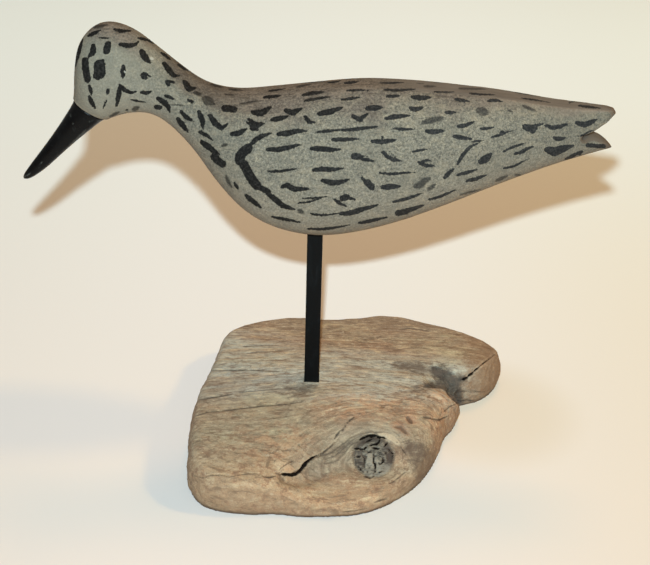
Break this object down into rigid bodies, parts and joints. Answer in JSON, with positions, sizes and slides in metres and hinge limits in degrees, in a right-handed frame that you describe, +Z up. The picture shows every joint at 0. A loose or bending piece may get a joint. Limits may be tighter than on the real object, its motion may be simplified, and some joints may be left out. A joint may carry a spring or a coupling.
{
  "type": "shorebird decoy",
  "caption": "Carved and painted wooden shorebird decoy with a long black bill, held above a slab of driftwood by a black square bar.",
  "frame": {"origin": "on the driftwood's flat underside, straight below the bar", "axes": "+Z up, +X towards the bird's tail, so the bird faces -X"},
  "size_m": [0.2951, 0.1804, 0.2219],
  "materials": {
    "painted_wood": "matt grey-green paint with a sandy grain, browner on the back, with rows of black brush dabs",
    "black_bill": "glossy black paint, scuffed at the tip and along the lower edge",
    "black_bar": "black paint, half gloss, lightly scratched",
    "driftwood": "bare weathered wood, bleached grey and tan with open grain, cracks and one dark knot"
  },
  "bodies": {
    "root": {"bird": "painted_wood", "bill": "black_bill", "stand_bar": "black_bar", "driftwood_base": "driftwood"}
  },
  "joints": []
}
